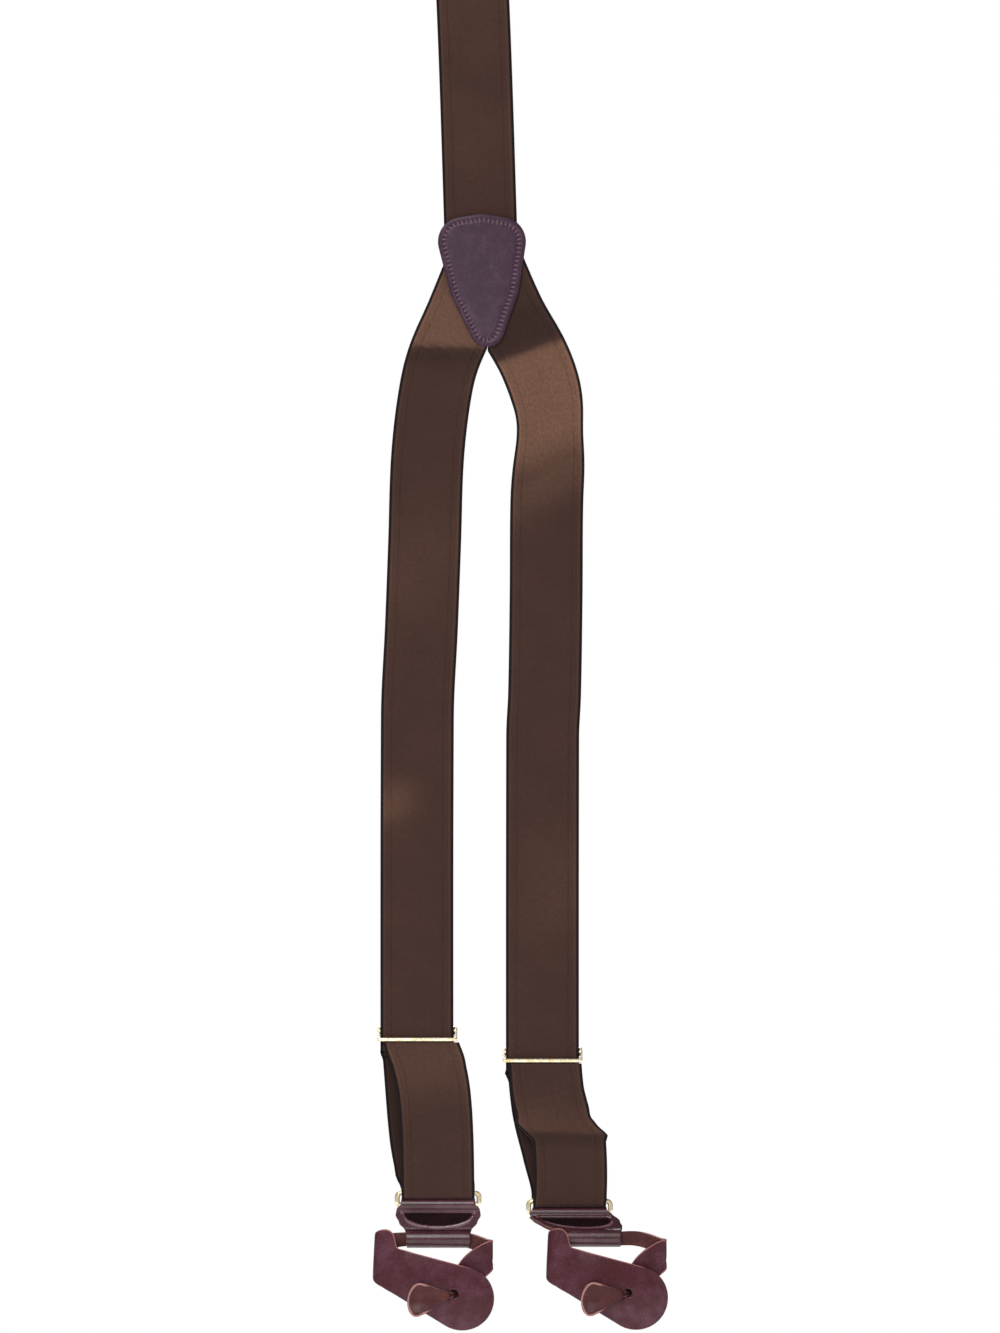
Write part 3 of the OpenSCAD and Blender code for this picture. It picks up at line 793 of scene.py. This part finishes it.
def sewn_row(x, y, z):
    """Places of 17 small stitches straight across the webbing."""
    return [(x + 2.1 * k, y, z, 0) for k in range(-8, 9)]


sewing_size = (1.5, 0.6, 0.5)

# %% [markdown]
# The crosspatch is a shield of thick leather, skived thin at the edge, with a line of
# slanting stitches in a shallow channel inside a raised, shiny border. Its outline is the
# hull of five circles. A convex hull operator finds it, and insets of the front face shape
# the border, the channel and the soft middle.

# %% Crosspatch
patch_circles = [(-9.9, -14.5, 13), (0, -20, 20), (9.9, -14.5, 13), (2.6, -60.2, 9),
                 (1.2, -36, 18.4)]


def hull_plate(circles, shrink, y_front, thickness):
    """A flat plate whose outline wraps circles; gives the bmesh and its front face."""
    bm = bmesh.new()
    for x, z, r in circles:
        for y in (y_front, y_front + thickness):
            place = Matrix.Translation(world(x, y, z)) @ Matrix.Rotation(math.pi / 2, 4, "X")
            bmesh.ops.create_circle(bm, segments=96, radius=(r - shrink) * MM, matrix=place)
    hull = bmesh.ops.convex_hull(bm, input=bm.verts[:])
    inside = [v for v in hull["geom_interior"] if isinstance(v, bmesh.types.BMVert)]
    bmesh.ops.delete(bm, geom=inside, context="VERTS")
    loose = [v for v in bm.verts if not v.link_faces]
    bmesh.ops.delete(bm, geom=loose, context="VERTS")
    bmesh.ops.dissolve_limit(bm, angle_limit=0.01, verts=bm.verts[:], edges=bm.edges[:])
    bmesh.ops.recalc_face_normals(bm, faces=bm.faces[:])
    faces = sorted(bm.faces, key=lambda f: f.calc_area(), reverse=True)[:2]
    front = min(faces, key=lambda f: f.calc_center_median().y)
    return bm, front


def round_edges(piece, width, segments, sharpest):
    """Rounds the edges that are sharper than an angle in degrees."""
    edge = piece.modifiers.new("edge", "BEVEL")
    edge.width, edge.segments = width * MM, segments
    edge.limit_method, edge.angle_limit = "ANGLE", math.radians(sharpest)


def add_wall(piece, thickness, **settings):
    """Gives a sheet its wall, half to each side."""
    wall = piece.modifiers.new("thickness", "SOLIDIFY")
    wall.thickness, wall.offset = thickness * MM, 0
    for name, value in settings.items():
        setattr(wall, name, value)


def soften(piece):
    """Rounds a piece with one level of subdivision."""
    rounding = piece.modifiers.new("round", "SUBSURF")
    rounding.levels = rounding.render_levels = 1


def patch_plate(name, bm, node, edge_width, segments):
    piece = make_object(name, bm, [patch_leather])
    round_edges(piece, edge_width, segments, 50)
    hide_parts(node)
    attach(piece, "crosspatch")
    return piece


bm, front = hull_plate(patch_circles, 0.0, front_y - 1.9, 1.9)
for inset, rise in ((0.35, 0.0), (0.5, 0.30), (0.9, 0.16), (0.75, -0.14), (0.35, -0.26),
                    (0.7, -0.03), (0.35, 0.16), (1.2, 0.10), (2.0, 0.04)):
    bmesh.ops.inset_individual(bm, faces=[front], thickness=inset * MM, depth=rise * MM)
patch_piece = patch_plate("crosspatch_leather", bm, "crosspatch_front", 0.3, 2)

bm, front = hull_plate(patch_circles, 0.6, front_y + webbing_t, 1.5)
lining = patch_plate("crosspatch_lining_leather", bm, "crosspatch_lining", 0.4, 3)
print("crosspatch faces", len(patch_piece.data.polygons), "lining", len(lining.data.polygons))

# %% Stitches round the crosspatch
bm, front = hull_plate(patch_circles, 3.25, 0, 1)
path = [(v.co - PATCH) / MM for v in front.verts]
bm.free()


def along_outline(path, count):
    """Evenly spaced (point, direction) round a closed outline in the x-z plane."""
    sides = [(a, b) for a, b in zip(path, path[1:] + path[:1])]
    lengths = [(b - a).length for a, b in sides]
    round_length = sum(lengths)
    found, reached, i = [], 0.0, 0
    for k in range(count):
        target = round_length * (k + 0.5) / count
        while reached + lengths[i] < target:
            reached += lengths[i]
            i += 1
        a, b = sides[i]
        found.append((a.lerp(b, (target - reached) / lengths[i]), (b - a).normalized()))
    return found


patch_stitches = [(p.x, front_y - 2.02, p.z, math.atan2(d.z, d.x) + math.pi / 2 + 0.12)
                  for p, d in along_outline(path, 72)]
stitch_row("crosspatch_stitches", "crosspatch", "crosspatch_stitching", patch_stitches)
rear_stitches = [(x, front_y + webbing_t + 1.5, z, a + math.pi / 2)
                 for x, y, z, a in patch_stitches]
stitch_row("crosspatch_rear_stitches", "crosspatch", None, rear_stitches)

# %% [markdown]
# The adjuster is a flat frame with three bars, stamped and plated. A grid with unevenly
# spaced rows and columns gives the bars, its window faces are deleted, and Solidify with a
# small bevel makes the stamped edges round enough to catch the light.

# %% Adjusters
bar, frame_y, frame_tilt = 1.8, -11.3, 25
for side in ("left", "right"):
    low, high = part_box(side + "_adjuster_frame")
    drop, x = adjuster_drop[side], (low[0] + high[0]) / 2
    half_out, half_in, half = webbing_w / 2 + 1.7, webbing_w / 2 + 0.4, bar / 2
    bars = (0.0, 7.47, 12.4)
    columns = [-half_out, -half_in, half_in, half_out]
    rows = sorted([s - half for s in bars] + [s + half for s in bars])
    bm = bmesh.new()
    bmesh.ops.create_grid(bm, x_segments=3, y_segments=5, size=0.5)
    for vert in bm.verts:
        column, row = round((vert.co.x + 0.5) * 3), round((vert.co.y + 0.5) * 5)
        vert.co = Vector((columns[column], rows[row], 0))
    windows = [f for f in bm.faces if abs(f.calc_center_median().x) < half_in
               and not any(abs(f.calc_center_median().y - s) < 0.1 for s in bars)]
    bmesh.ops.delete(bm, geom=windows, context="FACES")
    bm.transform(Matrix.Translation((x, frame_y * MM, PATCH.z - drop * MM))
                 @ Matrix.Rotation(math.radians(frame_tilt), 4, "X") @ Matrix.Scale(MM, 4))
    piece = make_object(side + "_adjuster_brass", bm, [brass])
    add_wall(piece, bar - 0.1)
    round_edges(piece, 0.45, 3, 30)
    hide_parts(side + "_adjuster_frame")
    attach(piece, side + "_adjuster")
    end_row = sewn_row(strap_lines[side][-1][1], back_layer_y + webbing_t / 2 + 0.05, -drop - 8.2)
    stitch_row(side + "_adjuster_stitches", side + "_adjuster", side + "_adjuster_stitching",
               end_row, size=sewing_size)
    print(side, "adjuster bars at", bars)

# %% [markdown]
# The rings are round brass wire. Their CAD shape is already right, so they stay and only get
# the plated finish.

# %% Rings and the tail's stitches
for side in ("left", "right", "back"):
    for slot in frame["nodes"][side + "_ring"].material_slots:
        slot.material = brass
tail_y = bar_r + 2 * webbing_t + 0.05
tail_rows = (sewn_row(back_x, tail_y, back_ring.z + 8.8)
             + sewn_row(back_x, tail_y, back_ring.z + 14.3))
stitch_row("tail_stitches", "back_strap", "back_strap_tail_stitching", tail_rows,
           size=sewing_size)


# %% [markdown]
# A holder is one piece of leather folded over the ring's lower bar. Its two plies are sewn
# together with a straight row and a curved row, the part between the rows is pressed in, and
# the free end is rolled into a tunnel for the button strap. In the side view it is a single
# closed path, so it is a ribbon again, with a width that changes from row to row.

# %% Holders
lower_bar_drop, tunnel_drop = 6.4, 17.5
row_drop, smile_half, smile_sag = 2.9, 18.4, 8.0
holder_lean = {"left": 0, "right": 48, "back": 0}
holder_shift = {"left": 0.0, "right": 9.9, "back": 0.0}


def holder_half_width(z):
    """Half the leather's width, by height below the lower bar."""
    stops = [(4, 19.2), (-0.6, 19.6), (-1.4, 21.6), (-5.2, 22.2), (-9.2, 20.4), (-13, 17.4),
             (-14.5, 16.8), (-30, 16.5)]
    for (za, wa), (zb, wb) in zip(stops, stops[1:]):
        if z >= zb:
            return wa + (wb - wa) * smooth_step(z, za, zb)
    return stops[-1][1]


def smile_z(x):
    return -row_drop - 0.3 - smile_sag * (1 - min(1.0, (x / smile_half) ** 2)) ** 0.42


def holder_points():
    front = [(0, -0.75, -12.9 + 0.5 * k) for k in range(0, 21)]
    shoulder = [(0, -0.9, -2.4), (0, -1.35, -1.8), (0, -2.0, -1.1), (0, -2.4, -0.4)]
    over = arc(0, 0, 0.35, 2.5, 180, 0, 14)
    shoulder_back = [(0, -y, z) for _, y, z in reversed(shoulder)]
    rear = [(0, 0.75, -4.2 - 1.0 * k) for k in range(0, 9)]
    roll = arc(0, 0, -tunnel_drop, 4.2, 76, -256, 36)
    return front + shoulder + over + shoulder_back + rear + roll


def slump(z, shift):
    """How far the leather has slumped sideways at a height below the lower bar."""
    return shift * step_up(z, -1, -13)


def add_holder(side):
    """The holder's leather and its stitches; it leans about the lower bar."""
    body, lean, shift = side + "_holder", holder_lean[side], holder_shift[side]
    hang = (ring_place(side) @ Matrix.Translation((0, 0, -lower_bar_drop * MM))
            @ Matrix.Rotation(-math.radians(lean), 4, "X") @ Matrix.Scale(MM, 4))
    points = holder_points()
    front_rows, columns = 25, 60
    bm = bmesh.new()
    bmesh.ops.create_grid(bm, x_segments=columns, y_segments=len(points) - 1, size=0.5)
    rim = bm.verts.layers.float.new("rim")
    pressed_verts = set()
    for vert in bm.verts:
        share, row = vert.co.x + 0.5, round((vert.co.y + 0.5) * (len(points) - 1))
        _, y, z = points[row]
        x = (2 * share - 1) * holder_half_width(z)
        if row < front_rows:
            low_z = smile_z(x)
            high_z = -row_drop - 0.55
            depth = min(high_z - z, z - low_z, smile_half - abs(x))
            # Painted highlight on the raised lip just below the pressed window.
            vert[rim] = math.exp(-((min(z - low_z, smile_half - abs(x)) + 0.55) / 0.7) ** 2) \
                * 0.75 * (z < high_z + 1)
            if depth > 0:
                y += 0.75 * min(1.0, depth / 0.7)
                pressed_verts.add(vert)
            elif depth > -1.2:
                y -= 0.35 * (1 + depth / 1.2)
            y -= 0.25 * math.exp(-((z + 12.6) / 0.8) ** 2)
        if z < -tunnel_drop - 2 and row > front_rows:
            x *= 0.985  # the inner turn of the roll is a little narrower
        vert.co = Vector((x + slump(z, shift), y, z))
    # Faces of the pressed window take the painted-shade leather.
    for face in bm.faces:
        if all(v in pressed_verts for v in face.verts):
            face.material_index = 1
    bmesh.ops.recalc_face_normals(bm, faces=bm.faces[:])
    bm.transform(hang)
    piece = make_object(side + "_holder_leather", bm, [holder_leather, recess_shade_leather, cut_edge])
    add_wall(piece, 1.2, material_offset_rim=2)
    soften(piece)
    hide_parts(body)
    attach(piece, body)
    straight = [(2.0 * k + slump(-row_drop, shift), -1.65, -row_drop, 0) for k in range(-8, 9)]
    curved = []
    for k in range(-10, 11):
        x = k * 1.72
        lean_angle = math.atan2(smile_z(x + 0.5) - smile_z(x - 0.5), 1.0)
        curved.append((x + slump(smile_z(x), shift), -1.75, smile_z(x) - 0.55, lean_angle))
    stitch_row(side + "_holder_stitches", body, body + "_stitching", straight + curved, hang,
               size=(1.5, 0.8, 0.7))
    print(side, "holder leans", lean, "degrees, slumped", shift, "mm")


for side in ("left", "right", "back"):
    add_holder(side)


# %% [markdown]
# The button strap is a single long piece of leather. A wide tab with a keyhole buttonhole
# lies in front, turns back at its left end, runs through the tunnel as a narrow strip, turns
# again at the right, and comes down behind the tab. Its tip is pulled through the buttonhole
# as a tongue. The flat cut is laid out first: a fine grid is trimmed to the outline, the
# outline's points are pulled exactly on to it, and the flat piece is then rolled up along a
# path seen from above.

# %% Cutting leather from a grid
def inside_distance(point, outline):
    """Distance from a point to a closed outline, positive inside, and the nearest point."""
    x, z = point
    best, nearest, inside = 1e9, None, False
    for (ax, az), (bx, bz) in zip(outline, outline[1:] + outline[:1]):
        dx, dz = bx - ax, bz - az
        f = ((x - ax) * dx + (z - az) * dz) / max(dx * dx + dz * dz, 1e-9)
        f = min(1.0, max(0.0, f))
        px, pz = ax + f * dx, az + f * dz
        d = math.hypot(x - px, z - pz)
        if d < best:
            best, nearest = d, (px, pz)
        if (az > z) != (bz > z) and x < ax + (z - az) * dx / dz:
            inside = not inside
    return (best if inside else -best), nearest


def hull_outline(circles, parts=72):
    """Outline round circles (x, z, r), as the hull of their points."""
    points = sorted({(round(x + r * math.cos(a), 4), round(z + r * math.sin(a), 4))
                     for x, z, r in circles
                     for a in [2 * math.pi * k / parts for k in range(parts)]})

    def half(ordered):
        chain = []
        for p in ordered:
            while len(chain) > 1:
                (ax, az), (bx, bz) = chain[-2:]
                if (bx - ax) * (p[1] - az) - (bz - az) * (p[0] - ax) > 0:
                    break
                chain.pop()
            chain.append(p)
        return chain[:-1]
    return half(points) + half(points[::-1])


def smooth_outline(points, rounds=3):
    """Cuts an outline's corners, round by round, until it flows."""
    for _ in range(rounds):
        cut = []
        for (ax, az), (bx, bz) in zip(points, points[1:] + points[:1]):
            cut += [(0.75 * ax + 0.25 * bx, 0.75 * az + 0.25 * bz),
                    (0.25 * ax + 0.75 * bx, 0.25 * az + 0.75 * bz)]
        points = cut
    return points


def cut_leather(outline, holes, cell, trimmed, rim_width=1.0):
    """A bmesh grid in the x-z plane, trimmed to an outline with holes, in millimetres.

    A last row of faces, rim_width wide, follows the outline. Its outer points carry the share
    trimmed(x, z) in the attribute "rim", which shows the cut edge.
    """
    xs, zs = [p[0] for p in outline], [p[1] for p in outline]
    size = (max(xs) - min(xs) + 2 * cell, max(zs) - min(zs) + 2 * cell)
    counts = [max(2, round(s / cell)) for s in size]
    bm = bmesh.new()
    bmesh.ops.create_grid(bm, x_segments=counts[0], y_segments=counts[1], size=0.5)
    for vert in bm.verts:
        vert.co = Vector((min(xs) - cell + (vert.co.x + 0.5) * size[0], 0,
                          min(zs) - cell + (vert.co.y + 0.5) * size[1]))
    rim = bm.verts.layers.float.new("rim")

    def depth_and_edge(spot):
        depth, nearest = inside_distance(spot, outline)
        for hole in holes:
            hole_depth, hole_nearest = inside_distance(spot, hole)
            if -hole_depth < depth:
                depth, nearest = -hole_depth, hole_nearest
        return depth, Vector((nearest[0], 0, nearest[1]))

    pull = {v: depth_and_edge((v.co.x, v.co.z)) for v in bm.verts}
    outside = [v for v in bm.verts if pull[v][0] < 0.45 * cell]
    while outside:
        bmesh.ops.delete(bm, geom=outside, context="VERTS")
        outside = [v for v in bm.verts if not v.link_faces
                   or sum(e.is_boundary for e in v.link_edges) > 2]
    for vert in bm.verts:
        if vert.is_boundary:
            depth, nearest = pull[vert]
            vert.co = nearest + (vert.co - nearest) / depth * rim_width
    inner = [v for v in bm.verts if not v.is_boundary]
    for _ in range(3):
        bmesh.ops.smooth_vert(bm, verts=inner, factor=0.4, use_axis_x=True, use_axis_z=True)
    border = [e for e in bm.edges if e.is_boundary]
    grown = bmesh.ops.extrude_edge_only(bm, edges=border)["geom"]
    for vert in [g for g in grown if isinstance(g, bmesh.types.BMVert)]:
        vert.co = depth_and_edge((vert.co.x, vert.co.z))[1]
        vert[rim] = trimmed(vert.co.x, vert.co.z)
    return bm


# %% The button strap's cut
left_bend, right_bend = 18.6, 36.0
front_layer, back_layer, tongue_layer = -6.2, -2.5, -8.5
left_r, right_r = -front_layer / 2, -back_layer / 2
bend_end = left_bend + math.pi * left_r
strip_end = bend_end + left_bend + right_bend
right_end = strip_end + math.pi * right_r
eye = (18.2, -28.0)
slit_tip = (-2.6, -31.4)

flat_tab = hull_outline([(-22.5, -30.5, 16.5), (10, -17, 12.3)])
tab_part = [p for p in flat_tab if p[0] < 6]
turn_index = max(range(len(tab_part)),
                 key=lambda i: math.dist(tab_part[i], tab_part[(i + 1) % len(tab_part)]))
tab_part = tab_part[turn_index + 1:] + tab_part[:turn_index + 1]
if tab_part[0][1] > tab_part[-1][1]:
    tab_part.reverse()
rest = [(8, -5.4), (11.4, -4.4), (12.0, -1.0), (13.0, 2.8), (15.2, 5.2), (left_bend + 1, 5.6),
        (left_bend + 5, 2.8), (bend_end, 2.4),
        (bend_end + 8, 3.4), (strip_end - 26, 3.4), (strip_end - 10, 2.6),
        (strip_end + 0.5, -0.4), (right_end + 2, -1.4), (right_end + 14, -9.5),
        (right_end + 20, -22), (right_end + 20.5, -31), (right_end + 13, -32),
        (right_end + 3, -21), (right_end - 0.5, -18.5), (strip_end - 1, -10.5),
        (strip_end - 10, -5.0), (strip_end - 26, -3.6), (bend_end + 8, -3.6),
        (bend_end + 3.5, -7), (bend_end - 1, -14), (left_bend + 5, -20.5),
        (left_bend + 1, -24.2), (left_bend - 2, -26.2), (left_bend - 6, -28.2)]
rest_in_order = rest if math.dist(tab_part[-1], rest[0]) < math.dist(tab_part[-1], rest[-1]) \
    else rest[::-1]
strap_cut = smooth_outline(tab_part + rest_in_order, 2)

keyhole = hull_outline([(-eye[0], eye[1], 2.4), (-eye[0] + 0.1, eye[1], 2.4)], 28)
slit = [(-eye[0] + 1.0, eye[1] + 0.9), (-slit_tip[0], slit_tip[1] + 0.75),
        (-slit_tip[0] + 0.8, slit_tip[1]), (-slit_tip[0], slit_tip[1] - 0.75),
        (-eye[0] + 1.0, eye[1] - 0.9)]


def swell(x, z):
    """How far the front tab stands forward of its flat layer, in millimetres."""
    across = (x - 8) / 30
    down = (z + 26) / 19
    soft = max(0.0, 1 - across * across * 0.8 - down * down * 0.55)
    curl = swells(x, [(-15, 5, 1.4)]) * step_up(z, -16, -2)
    return 3.0 * soft + swells(x, [(30, 6, 0.9), (-6, 5, -0.7)]) + curl


def roll_up(s, z):
    """Where a point of the flat cut goes when the strap is rolled up."""
    if s <= left_bend:
        forward = swell(-s, z) * step_up(s, left_bend, left_bend - 12)
        return Vector((-s, front_layer - forward, z))
    if s <= bend_end:
        a = (s - left_bend) / left_r
        hollow = 1.0 + 0.22 * step_up(z, 0, -16) - 0.3 * step_up(z, 0, 5) ** 2
        return Vector((-left_bend - left_r * math.sin(a) * 1.2 * hollow,
                       front_layer / 2 - left_r * math.cos(a), z))
    if s <= strip_end:
        x = -left_bend + s - bend_end
        past = max(0.0, (x - 14) / 22)
        return Vector((x, -0.9 * past * past, z + 1.0 * math.sin(math.pi * min(1, past)) * 0.8))
    if s <= right_end:
        a = (s - strip_end) / right_r
        return Vector((right_bend + right_r * math.sin(a) * 1.6,
                       -0.9 + back_layer / 2 + 0.45 + right_r * math.cos(a) * 0.66, z))
    x = right_bend - (s - right_end)
    return Vector((x, back_layer + 0.05, z))


tongue_cut = smooth_outline([(21.0, -29.2), (17, -29.8), (11, -32.6), (4, -37.6), (-0.5, -39.8),
                             (-3.6, -39.2), (-5.8, -35.2), (-6.2, -31), (-5.0, -26.4),
                             (-2.6, -22.8), (0.4, -21.6), (4, -22.7), (11, -25.4), (17, -27.0),
                             (21.0, -27.0)], 2)


def place_tongue(x, z):
    """The tongue dives through the buttonhole at its right end and cups at its tip."""
    into = smooth_step(x, 14.5, 19.5)
    cup = 0.055 * (z + 30.5) ** 2 * step_up(x, 15, 1)
    lift = 0.9 * math.exp(-((x + 6) / 3) ** 2)
    level = tongue_layer - swell(x, z) - min(cup, 2.6) - lift
    return Vector((x, level * (1 - into) + (back_layer - 0.8) * into, z))


def leather_piece(name, bm, place, matrix, body, materials, away):
    """Rolls a flat cut up by place; away is where its face looks to the front."""
    probe = min(bm.faces, key=lambda f: (f.calc_center_median() - Vector((away, 0, -25))).length)
    for vert in bm.verts:
        vert.co = place(vert.co.x, vert.co.z)
    bm.normal_update()
    if probe.normal.y > 0:
        bmesh.ops.reverse_faces(bm, faces=bm.faces[:])
    bm.transform(matrix)
    piece = make_object(name, bm, materials)
    add_wall(piece, 1.8, material_offset=1, material_offset_rim=2, edge_crease_inner=0.75,
             edge_crease_outer=0.75)
    soften(piece)
    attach(piece, body)
    return piece


def strap_trim(s, z):
    """Share of pale cut edge: along the tab's top, over the curl and down the folded panel."""
    top = step_up(s, -34, -22) * step_up(z, -22, -14) * step_up(-s, -bend_end, 4 - bend_end)
    return max(top * step_up(z + 0.4 * abs(s - left_bend), -8, 0), top * (s < left_bend - 6),
               step_up(s, strip_end - 14, strip_end - 8))


def tongue_trim(x, z):
    """Share of pale cut edge: round the tip."""
    return step_up(-x, -9, -2)


print("strap cut", len(strap_cut), "points, about",
      round(max(p[0] for p in strap_cut) - min(p[0] for p in strap_cut)), "mm long")

# %% Button straps on the three ends
strap_shift = {"left": -10, "right": 11.7, "back": -4}
for side in ("left", "right", "back"):
    lean = math.radians(holder_lean[side])
    tunnel = Vector((strap_shift[side], -tunnel_drop * math.sin(lean),
                     -lower_bar_drop - tunnel_drop * math.cos(lean))) * MM
    place = ring_place(side) @ Matrix.Translation(tunnel) @ Matrix.Scale(MM, 4)
    body = side + "_button_strap"
    strap_piece = leather_piece(side + "_button_strap_leather",
                                cut_leather(strap_cut, [keyhole, slit], 0.95, strap_trim),
                                roll_up, place, body,
                                [strap_leather, inner_leather, cut_edge], -8)
    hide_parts(body)
    leather_piece(side + "_button_strap_tongue",
                  cut_leather(tongue_cut, [], 0.9, tongue_trim, 1.7), place_tongue, place,
                  body, [inner_leather, inner_leather, cut_edge], 5)
    print(body, len(strap_piece.data.polygons), "faces")
